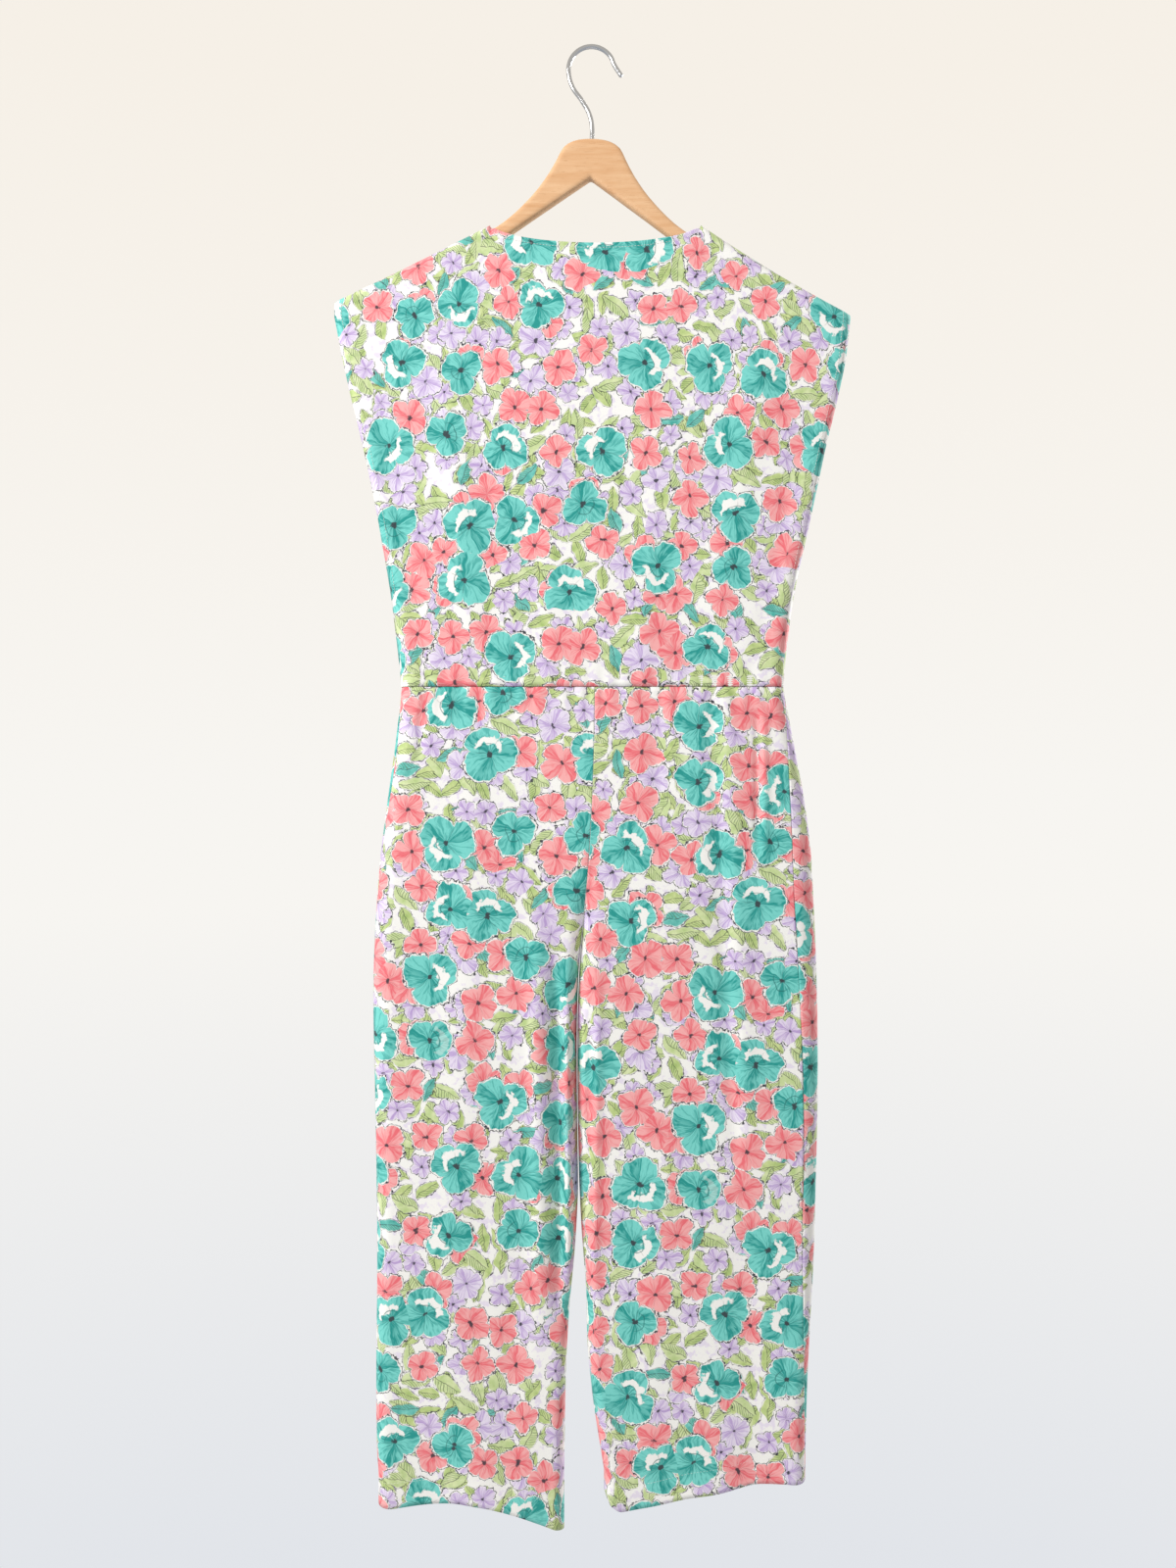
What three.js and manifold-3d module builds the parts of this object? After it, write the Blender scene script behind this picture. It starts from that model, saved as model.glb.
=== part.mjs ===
// A sleeveless floral jumpsuit on a wooden hanger, seen from behind with its back towards -Y.
// Millimetres, +Z up, +X towards the wearer's right. The origin is the inside top of the hook's curl,
// so everything hangs below it: "down" is a distance under the origin.
// Each cut piece is a thin closed wall, lofted from short tables of sections.

import * as THREE from "three";
import { mergeVertices } from "three/addons/utils/BufferGeometryUtils.js";
import Module from "manifold-3d";

const wasm = await Module();
wasm.setup();

// ---------------------------------------------------------------- driving dimensions

const WALL = 1.2; // cloth with its seam turnings, as one wall
const SEAM_GAP = 0.3; // left between two pieces where they are sewn
const HALF_GAP = SEAM_GAP / 2;

const WAIST_DOWN = 652;
const ARMHOLE_DOWN = 562; // the foot of the armhole, where the side seam starts
const ARMHOLE_LEAN = 0.35; // how far a free armhole edge leans in, as a share of the depth
const ARMHOLE_EASE = 70; // the side closes over this height above the armhole's foot
const CROTCH_DOWN = 970;
const CROTCH_RISE = 150; // the centre seams curve in to the inseam over this height

const NECK = { left: -105, right: 111, down: 181, backDrop: 21, frontDrop: 92 };
const SHOULDER = { leftTip: -264, leftDown: 259, rightTip: 264, rightDown: 272, bow: 3 };

const LAP = { half: 12, margin: 3, ramp: 22 }; // the fronts cross by twice the half; the ramp steps one out
const BUTTONS = { count: 6, firstDown: 292, pitch: 64, radius: 5.5, thick: 2.2, rim: 0.5 };
const ELASTIC = { height: 12, thick: 1.5 };
const POCKET = {
  topDown: 668,
  bottomDown: 905,
  thick: 2.4,
  set: 2.5, // its outer face, in from the front's outer face
  mouthWidth: 120,
  belly: 60, // it widens by this on the way down
  taper: 112, // and its foot rounds in by this
  columns: 5,
  rows: 7,
};

const HANGER = {
  headDown: 93, // the top of the head
  tilt: THREE.MathUtils.degToRad(1.1), // it hangs a little lower on the wearer's right
  thick: 12,
  bevel: 3.4,
  bore: { radius: 2.65, depth: 26 },
};
const HOOK = { wire: 2.3, shankIn: 25, curl: 23.5, curlAcross: -1.8 };

// The bodice, from the shoulder tips to the waist. depth is half the garment's thickness there.
const BODICE_SECTIONS = [
  { down: 262, left: -264, right: 264, depth: 10 },
  { down: 330, left: -251, right: 256, depth: 11 },
  { down: 400, left: -234, right: 239, depth: 12 },
  { down: 470, left: -219, right: 224, depth: 12.5 },
  { down: 530, left: -209, right: 211, depth: 13 },
  { down: 590, left: -201, right: 201, depth: 14 },
  { down: 652, left: -194, right: 195, depth: 15 },
];

// The legs, from the waist to the hem: outer folds, inner edges (the centre seam, then the inseams),
// half thickness, and how far round to the back each side seam lies.
const LEG_SECTIONS = [
  { down: 652, outerLeft: -194, innerLeft: 3, innerRight: 3, outerRight: 195, depth: 15, seamLeft: 2, seamRight: 1 },
  { down: 715, outerLeft: -201, innerLeft: 2, innerRight: 2, outerRight: 207, depth: 17, seamLeft: 8, seamRight: 12 },
  { down: 793, outerLeft: -212, innerLeft: -1, innerRight: -1, outerRight: 221, depth: 19, seamLeft: 7, seamRight: 20 },
  { down: 850, outerLeft: -218, innerLeft: -5, innerRight: -5, outerRight: 225, depth: 20, seamLeft: 5, seamRight: 23 },
  { down: 950, outerLeft: -223, innerLeft: -14, innerRight: -14, outerRight: 229, depth: 20, seamLeft: 4, seamRight: 21 },
  { down: 1065, outerLeft: -221, innerLeft: -15, innerRight: -15, outerRight: 230, depth: 19, seamLeft: 4, seamRight: 18 },
  { down: 1190, outerLeft: -219, innerLeft: -14, innerRight: -12, outerRight: 227, depth: 18, seamLeft: 4, seamRight: 16 },
  { down: 1260, outerLeft: -219, innerLeft: -21, innerRight: -6, outerRight: 225, depth: 17, seamLeft: 3, seamRight: 14 },
  { down: 1340, outerLeft: -220, innerLeft: -26, innerRight: -4, outerRight: 220, depth: 16, seamLeft: 2, seamRight: 9 },
  { down: 1455, outerLeft: -218, innerLeft: -28, innerRight: 13, outerRight: 217, depth: 15, seamLeft: 1, seamRight: 4 },
  { down: 1510, outerLeft: -210, innerLeft: -29, innerRight: 22, outerRight: 216, depth: 14, seamLeft: 1, seamRight: 1 },
];

// The hem edge of each leg, from the outer fold (0) to the inner one (1).
const HEM_LEFT = [
  { across: 0, down: 1481 },
  { across: 0.25, down: 1477 },
  { across: 0.5, down: 1476 },
  { across: 0.75, down: 1488 },
  { across: 1, down: 1508 },
];
const HEM_RIGHT = [
  { across: 0, down: 1457 },
  { across: 0.2, down: 1456 },
  { across: 0.45, down: 1466 },
  { across: 0.65, down: 1471 },
  { across: 0.8, down: 1481 },
  { across: 1, down: 1486 },
];

// How finely each loft is stepped. neckTurns are the columns of half a neck curve, as shares of its
// quarter turn from the corner, closest where the cloth leaves the shoulder.
const STEPS = {
  shoulderRound: 3,
  sideRound: 3,
  shoulder: 4,
  neckTurns: [0, 0.08, 0.22, 0.42, 0.62, 0.82, 1],
  bodiceRows: 9,
  flat: 5,
  legRows: 15,
};
const HALF_NECK = STEPS.neckTurns.length - 1;

// ---------------------------------------------------------------- helpers

const QUARTER = Math.PI / 2;
const clamp01 = (t) => Math.min(1, Math.max(0, t));
const mix = (a, b, t) => a + (b - a) * t;
const ease = (t) => clamp01(t) ** 2 * (3 - 2 * clamp01(t));

// A smooth reading of one column of a table, held level past its ends.
function read(table, key, at, column) {
  const last = table.length - 1;
  if (at <= table[0][key]) return table[0][column];
  if (at >= table[last][key]) return table[last][column];
  const i = table.findIndex((row) => row[key] > at) - 1;
  const slope = (a, b) => (table[b][column] - table[a][column]) / (table[b][key] - table[a][key]);
  const span = table[i + 1][key] - table[i][key];
  const t = (at - table[i][key]) / span;
  const startSlope = slope(Math.max(0, i - 1), i + 1);
  const endSlope = slope(i, Math.min(last, i + 2));
  const start = table[i][column] * (1 + 2 * t) * (1 - t) ** 2 + startSlope * span * t * (1 - t) ** 2;
  const end = table[i + 1][column] * t * t * (3 - 2 * t) - endSlope * span * t * t * (1 - t);
  return start + end;
}

// The outward direction of a surface at grid place (i, j), from its slopes either way.
function normalAt(point, i, j, columns, rows) {
  const step = 0.01;
  const difference = (i0, j0, i1, j1) => point(i1, j1).sub(point(i0, j0));
  const across = difference(Math.max(0, i - step), j, Math.min(columns, i + step), j);
  const down = difference(i, Math.max(0, j - step), i, Math.min(rows, j + step));
  return across.cross(down).normalize();
}

// A closed wall: its outer face is point(i, j) moved in by set, and its inner face lies thick further in.
function clothWall({ columns, rows, point, facing, set = 0, thick = WALL }) {
  const positions = [];
  for (const layer of [set, set + thick]) {
    for (let j = 0; j <= rows; j++) {
      for (let i = 0; i <= columns; i++) {
        const inward = normalAt(point, i, j, columns, rows).multiplyScalar(-facing * layer);
        positions.push(...point(i, j).add(inward));
      }
    }
  }
  const layerSize = (columns + 1) * (rows + 1);
  const index = (layer, i, j) => layer * layerSize + j * (columns + 1) + i;
  const triangles = [];
  const quad = (a, b, c, d) => triangles.push(a, b, c, a, c, d);
  for (let j = 0; j < rows; j++) {
    for (let i = 0; i < columns; i++) {
      quad(index(0, i, j), index(0, i, j + 1), index(0, i + 1, j + 1), index(0, i + 1, j));
      quad(index(1, i, j), index(1, i + 1, j), index(1, i + 1, j + 1), index(1, i, j + 1));
    }
  }
  for (let i = 0; i < columns; i++) {
    quad(index(0, i, 0), index(0, i + 1, 0), index(1, i + 1, 0), index(1, i, 0));
    quad(index(0, i + 1, rows), index(0, i, rows), index(1, i, rows), index(1, i + 1, rows));
  }
  for (let j = 0; j < rows; j++) {
    quad(index(0, 0, j + 1), index(0, 0, j), index(1, 0, j), index(1, 0, j + 1));
    quad(index(0, columns, j), index(0, columns, j + 1), index(1, columns, j + 1), index(1, columns, j));
  }
  return closedGeometry(positions, facing < 0 ? triangles : triangles.reverse());
}

function closedGeometry(positions, triangles) {
  const geometry = new THREE.BufferGeometry();
  geometry.setAttribute("position", new THREE.Float32BufferAttribute(positions, 3));
  geometry.setIndex(triangles);
  geometry.computeVertexNormals();
  return geometry;
}

// ---------------------------------------------------------------- the bodice

const bodice = (down, column) => read(BODICE_SECTIONS, "down", down, column);

// The top line over the whole width: two shoulder slopes with the neck cut between them.
function topDown(across, neckDrop) {
  if (across < NECK.left) {
    const t = (NECK.left - across) / (NECK.left - SHOULDER.leftTip);
    return mix(NECK.down, SHOULDER.leftDown, t) + SHOULDER.bow * Math.sin(Math.PI * t) * 0.3;
  }
  if (across > NECK.right) {
    const t = (across - NECK.right) / (SHOULDER.rightTip - NECK.right);
    return mix(NECK.down, SHOULDER.rightDown, t) + SHOULDER.bow * Math.sin(Math.PI * t);
  }
  const half = (NECK.right - NECK.left) / 2;
  const t = (across - NECK.left - half) / half;
  return NECK.down + neckDrop * Math.sqrt(Math.max(0, 1 - t * t));
}

// The turn of a neck column, n columns in from the corner.
function neckTurn(n) {
  const k = Math.min(Math.floor(n), HALF_NECK - 1);
  return QUARTER * mix(STEPS.neckTurns[k], STEPS.neckTurns[k + 1], n - k);
}

// One point of the bodice's outer face. topAcross is the column's place on the top line, round is its
// turn into the side (0 at the edge, 1 on the flat), and row counts down from the top: the first rows
// turn over the shoulder. A straight column hangs plumb, as the front edges do.
function bodicePoint({ topAcross, edge, round, straight = false, row, side, neckDrop }) {
  const { shoulderRound, bodiceRows } = STEPS;
  const top = topDown(topAcross, neckDrop);
  const arch = clamp01(row / shoulderRound) * QUARTER;
  const archDepth = BODICE_SECTIONS[0].depth;
  const fall = clamp01((row - shoulderRound) / bodiceRows);
  const archFoot = top + archDepth;
  const down = row < shoulderRound ? top + archDepth * (1 - Math.cos(arch)) : mix(archFoot, WAIST_DOWN - HALF_GAP, fall);

  const left = bodice(down, "left");
  const right = bodice(down, "right");
  const depth = bodice(down, "depth");
  const closed = mix(ARMHOLE_LEAN, 1, ease((down - ARMHOLE_DOWN + ARMHOLE_EASE) / ARMHOLE_EASE));
  const turn = round * QUARTER;
  const inset = depth * mix(round, 1 - Math.cos(turn), closed);
  const share = (topAcross - SHOULDER.leftTip - archDepth) / (SHOULDER.rightTip - SHOULDER.leftTip - 2 * archDepth);
  const flatAcross = straight ? topAcross : mix(left + depth, right - depth, share);
  const across = edge === "left" ? left + inset : edge === "right" ? right - inset : flatAcross;

  const half = (NECK.right - NECK.left) / 2;
  const fromMiddle = Math.abs(topAcross - NECK.left - half);
  const fromCorner = Math.hypot(half - fromMiddle, top - NECK.down);
  const seamed = fromMiddle < half ? 1 - ease(fromCorner / archDepth) : 1;
  const lift = mix(1, Math.sin(arch), seamed) * mix(1, Math.sin(turn), closed);
  return { across, down, out: side * (depth * lift + HALF_GAP) };
}

// Column i of the back, counted from the left edge, in five runs: side, shoulder, neck, shoulder, side.
function backColumn(i) {
  const { sideRound, shoulder } = STEPS;
  const archDepth = BODICE_SECTIONS[0].depth;
  const total = 2 * (sideRound + shoulder + HALF_NECK);
  const fromRight = i > total / 2;
  const n = fromRight ? total - i : i;
  const tip = fromRight ? SHOULDER.rightTip : SHOULDER.leftTip;
  const corner = fromRight ? NECK.right : NECK.left;
  const inward = fromRight ? -1 : 1;
  if (n < sideRound) {
    const round = n / sideRound;
    return { edge: fromRight ? "right" : "left", round, topAcross: tip + inward * archDepth * round };
  }
  if (n < sideRound + shoulder) {
    return { round: 1, topAcross: mix(tip + inward * archDepth, corner, (n - sideRound) / shoulder) };
  }
  const middle = (NECK.left + NECK.right) / 2;
  return { round: 1, topAcross: mix(middle, corner, Math.cos(neckTurn(n - sideRound - shoulder))) };
}

function bodiceBack() {
  const { sideRound, shoulder, shoulderRound, bodiceRows } = STEPS;
  return clothWall({
    columns: 2 * (sideRound + shoulder + HALF_NECK),
    rows: shoulderRound + bodiceRows,
    facing: -1,
    point: (i, j) => {
      const place = bodicePoint({ ...backColumn(i), row: j, side: -1, neckDrop: NECK.backDrop });
      return new THREE.Vector3(place.across, place.out, -place.down);
    },
  });
}

// Column i of a front half, counted from its side edge to its free edge past the centre front.
function frontColumn(i, left) {
  const { sideRound, shoulder } = STEPS;
  const archDepth = BODICE_SECTIONS[0].depth;
  const tip = left ? SHOULDER.leftTip : SHOULDER.rightTip;
  const corner = left ? NECK.left : NECK.right;
  const inward = left ? 1 : -1;
  if (i < sideRound) {
    return { edge: left ? "left" : "right", round: i / sideRound, topAcross: tip + (inward * archDepth * i) / sideRound };
  }
  if (i < sideRound + shoulder) {
    return { round: 1, topAcross: mix(tip + inward * archDepth, corner, (i - sideRound) / shoulder) };
  }
  const stop = sideRound + shoulder + HALF_NECK;
  const beforeLap = -inward * (LAP.half + LAP.margin);
  if (i > stop) {
    return { round: 1, straight: true, topAcross: mix(beforeLap, inward * LAP.half, i - stop) };
  }
  const turn = neckTurn(i - sideRound - shoulder);
  return { round: 1, straight: i === stop, topAcross: mix(beforeLap, corner, Math.cos(turn)) };
}

// The wearer's right front laps over the left one, so near its free edge it stands one wall further out.
function lapLift(across) {
  return (WALL + SEAM_GAP) * (1 - ease((across - LAP.half - LAP.margin) / LAP.ramp));
}

function frontPoint(i, j, left) {
  const place = bodicePoint({ ...frontColumn(i, left), row: j, side: 1, neckDrop: NECK.frontDrop });
  const lift = left ? 0 : lapLift(place.across);
  return new THREE.Vector3(place.across, place.out + lift, -place.down);
}

function bodiceFront(left) {
  const { sideRound, shoulder, shoulderRound, bodiceRows } = STEPS;
  return clothWall({
    columns: sideRound + shoulder + HALF_NECK + 1,
    rows: shoulderRound + bodiceRows,
    facing: left ? 1 : -1,
    point: (i, j) => frontPoint(i, j, left),
  });
}

// A plain round button, flat behind and dished inside its rim, standing on the lapped front.
function button() {
  const { radius, thick, rim } = BUTTONS;
  const profile = [
    [0, 0],
    [radius - rim, 0],
    [radius, rim],
    [radius, thick - rim],
    [radius - rim, thick],
    [radius - 3 * rim, thick],
    [radius - 4 * rim, thick - rim],
    [0, thick - rim],
  ];
  const turned = new THREE.LatheGeometry(profile.map(([r, h]) => new THREE.Vector2(r, h)), 14);
  return turned;
}

// The elastic in its casing: a closed band just inside the bodice, from the waist seam up. It follows
// the bodice's own section, moved in by layer, so its flats and rounded sides run alongside the cloth.
function waistLoop(down, layer) {
  const { sideRound } = STEPS;
  const depth = bodice(down, "depth");
  const corner = (edge, side) => {
    const inward = edge === "left" ? 1 : -1;
    return Array.from({ length: sideRound + 1 }, (_, k) => {
      const turn = (QUARTER * k) / sideRound;
      const across = bodice(down, edge) + inward * (depth * (1 - Math.cos(turn)) + layer * Math.cos(turn));
      return [across, side * (depth * Math.sin(turn) + HALF_GAP - layer * Math.sin(turn)), -down];
    });
  };
  return [
    ...corner("left", -1),
    ...corner("right", -1).reverse(),
    ...corner("right", 1),
    ...corner("left", 1).reverse(),
  ];
}

function waistElastic() {
  const outer = WALL + SEAM_GAP;
  const inner = outer + ELASTIC.thick;
  const bottom = WAIST_DOWN - SEAM_GAP;
  const top = bottom - ELASTIC.height;
  const loops = [waistLoop(bottom, outer), waistLoop(top, outer), waistLoop(top, inner), waistLoop(bottom, inner)];
  const count = loops[0].length;
  const triangles = [];
  loops.forEach((_, ring) => {
    const next = ((ring + 1) % loops.length) * count;
    for (let k = 0; k < count; k++) {
      const [a, b] = [ring * count + k, ring * count + ((k + 1) % count)];
      const [c, d] = [next + ((k + 1) % count), next + k];
      triangles.push(a, b, c, a, c, d);
    }
  });
  return closedGeometry(loops.flat(2), triangles);
}

// ---------------------------------------------------------------- the legs

const leg = (down, column) => read(LEG_SECTIONS, "down", down, column);

// One point of a leg's outer face. gone is the distance from the outer fold round the section, and
// goes below zero where the piece wraps on to the other face. left picks the wearer's left leg.
function legPoint({ gone, down, left, side }) {
  const outer = legOuter(down, left);
  const depth = leg(down, "depth");
  const inward = left ? 1 : -1;
  const width = legWidth(down, left);
  const closed = ease((down - CROTCH_DOWN + CROTCH_RISE) / CROTCH_RISE);

  const from = Math.abs(gone);
  const turn = clamp01(from / depth) * QUARTER;
  const toInner = width - from;
  const innerTurn = clamp01(toInner / depth) * QUARTER;
  let reach = from < depth ? depth * (1 - Math.cos(turn)) : from;
  if (toInner < depth) reach = width - mix(toInner, depth * (1 - Math.cos(innerTurn)), closed);
  const lift = Math.sin(turn) * mix(1, Math.sin(innerTurn), closed);
  const face = gone < 0 ? -side : side;
  return new THREE.Vector3(outer + inward * reach, face * depth * lift + side * HALF_GAP * (gone > depth ? 1 : 0), -down);
}

// The distance from the outer fold at which a panel starts: the back stops short of the fold by the
// seam's place, and the front wraps round to meet it.
const SEAM_FLAT = 4; // the least turn modelled beside a side seam that lies on the flat

const legInner = (down, left) => leg(down, left ? "innerLeft" : "innerRight") + (left ? -HALF_GAP : HALF_GAP);
const legOuter = (down, left) => leg(down, left ? "outerLeft" : "outerRight");
const legWidth = (down, left) => Math.abs(legInner(down, left) - legOuter(down, left));

function seamStart(down, left, side) {
  const seam = leg(down, left ? "seamLeft" : "seamRight");
  return side < 0 ? seam + HALF_GAP : -seam + HALF_GAP;
}

// How far round the section column i lies at a given height: the turn at the outer fold, the flat, and
// the turn at the inner edge.
function legGone(i, down, left, side, outerSteps) {
  const { flat, sideRound } = STEPS;
  const start = seamStart(down, left, side);
  const width = legWidth(down, left);
  const depth = leg(down, "depth");
  const roundEnd = Math.max(depth, start + SEAM_FLAT);
  if (i <= outerSteps) return mix(start, roundEnd, i / outerSteps);
  if (i <= outerSteps + flat) return mix(roundEnd, width - depth, (i - outerSteps) / flat);
  return mix(width - depth, width, (i - outerSteps - flat) / sideRound);
}

function legGrid(left, side, outerSteps) {
  const hem = left ? HEM_LEFT : HEM_RIGHT;
  const top = WAIST_DOWN + HALF_GAP;
  const { flat, sideRound, legRows } = STEPS;
  const point = (i, j) => {
    const nominal = mix(top, hem[0].down, j / legRows);
    const share = clamp01(legGone(i, nominal, left, side, outerSteps) / legWidth(nominal, left));
    const down = mix(top, read(hem, "across", share, "down"), j / legRows);
    return legPoint({ gone: legGone(i, down, left, side, outerSteps), down, left, side });
  };
  return { columns: outerSteps + flat + sideRound, rows: legRows, point };
}

const facingOf = (left, side) => (left ? side : -side);

// A front wraps round the outer fold, the more so on the wearer's right, and takes more steps there.
const frontTurns = (left) => (left ? 4 : 6);
const backTurns = (left) => (left ? 3 : 2);

function legPanel(left, side) {
  const turns = side < 0 ? backTurns(left) : frontTurns(left);
  return clothWall({ ...legGrid(left, side, turns), facing: facingOf(left, side) });
}

// A pocket bag: two layers lying together inside the front, from the side seam inwards.
function pocketBag(left) {
  const { columns, rows, topDown: top, bottomDown: bottom, mouthWidth, belly, taper, thick, set } = POCKET;
  const turns = frontTurns(left);
  const point = (i, j) => {
    const fall = j / rows;
    const down = mix(top, bottom, fall);
    const start = seamStart(down, left, 1);
    const depth = leg(down, "depth");
    const reach = mouthWidth + belly * fall - taper * fall ** 4;
    const gone = i < turns ? mix(start, depth, i / turns) : mix(depth, reach, (i - turns) / columns);
    return legPoint({ gone, down, left, side: 1 });
  };
  return clothWall({ columns: columns + turns, rows, point, facing: facingOf(left, 1), set, thick });
}

// ---------------------------------------------------------------- the hanger

function toManifold(geometry) {
  const bare = geometry.clone();
  bare.deleteAttribute("normal");
  bare.deleteAttribute("uv");
  const merged = mergeVertices(bare, 1e-4);
  const vertProperties = new Float32Array(merged.attributes.position.array);
  const triVerts = new Uint32Array(merged.index.array);
  return new wasm.Manifold(new wasm.Mesh({ numProp: 3, vertProperties, triVerts }));
}

function fromManifold(solid) {
  const { vertProperties, triVerts } = solid.getMesh();
  return closedGeometry(Array.from(vertProperties), Array.from(triVerts));
}

// The wooden hanger in its own frame, with the top of its head at the origin, drawn as one half and
// mirrored: a rounded head, two sloping arms with round ends, and the notch between them.
function hangerOutline() {
  const armTop = { x: 105, z: -97.5 };
  const armEnd = { x: 219, z: -156 };
  const armHigh = 20;
  const outline = new THREE.Shape();
  outline.moveTo(0, 0);
  outline.bezierCurveTo(14, 0, 27, -3, 32, -14);
  outline.bezierCurveTo(38, -28, 48, -45, 60, -59);
  outline.bezierCurveTo(71, -71, 84, -86, armTop.x, armTop.z);
  outline.lineTo(armEnd.x, armEnd.z);
  outline.quadraticCurveTo(armEnd.x + 8, armEnd.z - 6, armEnd.x + 3, armEnd.z - 14);
  outline.quadraticCurveTo(armEnd.x - 2, armEnd.z - armHigh, armEnd.x - 10, armEnd.z - armHigh + 3);
  outline.lineTo(armTop.x + 8, armTop.z - armHigh - 5);
  outline.quadraticCurveTo(84, -100, 0, -41);
  const half = outline.getPoints(6);
  const mirrored = half.slice(1, -1).reverse().map((p) => new THREE.Vector2(-p.x, p.y));
  return new THREE.Shape([...half, ...mirrored]);
}

function hangerWood() {
  const { thick, bevel, bore } = HANGER;
  const blank = new THREE.ExtrudeGeometry(hangerOutline(), {
    depth: thick - 2 * bevel,
    bevelThickness: bevel,
    bevelSize: bevel,
    bevelOffset: -bevel,
    bevelSegments: 2,
  });
  blank.translate(0, 0, bevel - thick / 2);
  blank.rotateX(QUARTER);
  const drill = new THREE.CylinderGeometry(bore.radius, bore.radius, bore.depth + 10, 12);
  drill.rotateX(QUARTER);
  drill.translate(0, 0, 5 - bore.depth / 2);
  return fromManifold(toManifold(blank).subtract(toManifold(drill)));
}

// The steel hook: a shank out of the head, an S into the curl, the curl, and a tip that flares out.
function hangerHook() {
  const curlUp = HANGER.headDown + HOOK.wire - HOOK.curl;
  const spine = [
    [0, -HOOK.shankIn],
    [0, -HOOK.shankIn / 2],
    [0, 0],
    [0, 12],
    [-3, 26],
    [-11, 40],
    [-21, 54],
  ];
  for (let turn = 185; turn >= 15; turn -= 17) {
    const angle = THREE.MathUtils.degToRad(turn);
    spine.push([HOOK.curlAcross + HOOK.curl * Math.cos(angle), curlUp + HOOK.curl * Math.sin(angle)]);
  }
  spine.push([28, 67]);
  const path = new THREE.CatmullRomCurve3(spine.map(([x, z]) => new THREE.Vector3(x, 0, z)));
  const section = new THREE.Shape();
  section.absarc(0, 0, HOOK.wire, 0, 2 * Math.PI, false);
  const ring = new THREE.Shape(section.getPoints(5).slice(0, -1));
  return new THREE.ExtrudeGeometry(ring, { extrudePath: path, steps: 48, bevelEnabled: false });
}

// ---------------------------------------------------------------- assembly

const FINISH = {
  cloth: { color: 0xf3efe8, roughness: 0.85 },
  elastic: { color: 0xf4f3ef, roughness: 0.9 },
  button: { color: 0xf2efe6, roughness: 0.35 },
  wood: { color: 0xe9c896, roughness: 0.4 },
  wire: { color: 0xc4c6c8, roughness: 0.25, metalness: 1 },
};

const garment = new THREE.Group();

function piece(name, geometry, finish, parent = garment) {
  const mesh = new THREE.Mesh(geometry, new THREE.MeshStandardMaterial(finish));
  mesh.name = name;
  parent.add(mesh);
  return mesh;
}

piece("bodice_back", bodiceBack(), FINISH.cloth);
piece("bodice_front_left", bodiceFront(true), FINISH.cloth);
piece("bodice_front_right", bodiceFront(false), FINISH.cloth);
piece("leg_back_left", legPanel(true, -1), FINISH.cloth);
piece("leg_back_right", legPanel(false, -1), FINISH.cloth);
piece("leg_front_left", legPanel(true, 1), FINISH.cloth);
piece("leg_front_right", legPanel(false, 1), FINISH.cloth);
piece("pocket_bag_left", pocketBag(true), FINISH.cloth);
piece("pocket_bag_right", pocketBag(false), FINISH.cloth);

piece("waist_elastic", waistElastic(), FINISH.elastic);

for (let n = 0; n < BUTTONS.count; n++) {
  const down = BUTTONS.firstDown + n * BUTTONS.pitch;
  const sewn = piece(`front_button_${n + 1}`, button(), FINISH.button);
  sewn.position.set(0, bodice(down, "depth") + HALF_GAP + WALL + SEAM_GAP + SEAM_GAP, -down);
}

const hanger = new THREE.Group();
hanger.position.z = -HANGER.headDown;
hanger.rotation.y = HANGER.tilt;
garment.add(hanger);
piece("hanger_wood", hangerWood(), FINISH.wood, hanger);
piece("hanger_hook", hangerHook(), FINISH.wire, hanger);

export default garment;
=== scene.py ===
# %% [markdown]
# # A floral jumpsuit on a wooden hanger
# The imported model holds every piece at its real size. Here each cut piece of cloth becomes a thin shell
# with its own folds, hems and print, and the hanger gets sanded beech and a bright steel hook.
# The garment hangs with its back towards -Y, so the camera stands behind the wearer.

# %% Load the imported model
import math

import bmesh
import bpy
import numpy as np
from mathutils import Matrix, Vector


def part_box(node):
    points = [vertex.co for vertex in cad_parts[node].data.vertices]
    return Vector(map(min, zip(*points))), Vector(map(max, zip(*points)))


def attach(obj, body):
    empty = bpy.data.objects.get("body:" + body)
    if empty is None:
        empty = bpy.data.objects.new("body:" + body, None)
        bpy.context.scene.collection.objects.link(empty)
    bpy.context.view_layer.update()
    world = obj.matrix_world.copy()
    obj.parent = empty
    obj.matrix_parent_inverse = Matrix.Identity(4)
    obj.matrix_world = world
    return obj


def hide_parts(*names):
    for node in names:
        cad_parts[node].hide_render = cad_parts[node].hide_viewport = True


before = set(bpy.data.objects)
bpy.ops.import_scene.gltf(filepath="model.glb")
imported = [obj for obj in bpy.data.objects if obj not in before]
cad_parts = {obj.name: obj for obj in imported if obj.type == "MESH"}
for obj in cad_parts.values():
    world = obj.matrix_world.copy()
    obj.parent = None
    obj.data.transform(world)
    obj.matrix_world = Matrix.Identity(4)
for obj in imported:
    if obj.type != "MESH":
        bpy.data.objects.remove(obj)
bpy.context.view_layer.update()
MM = 0.001

# %% [markdown]
# ## Camera
# The camera looks level, with the hook near the top edge and the hems near the bottom one. Perspective
# shows a little of the hanger's underside.

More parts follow.
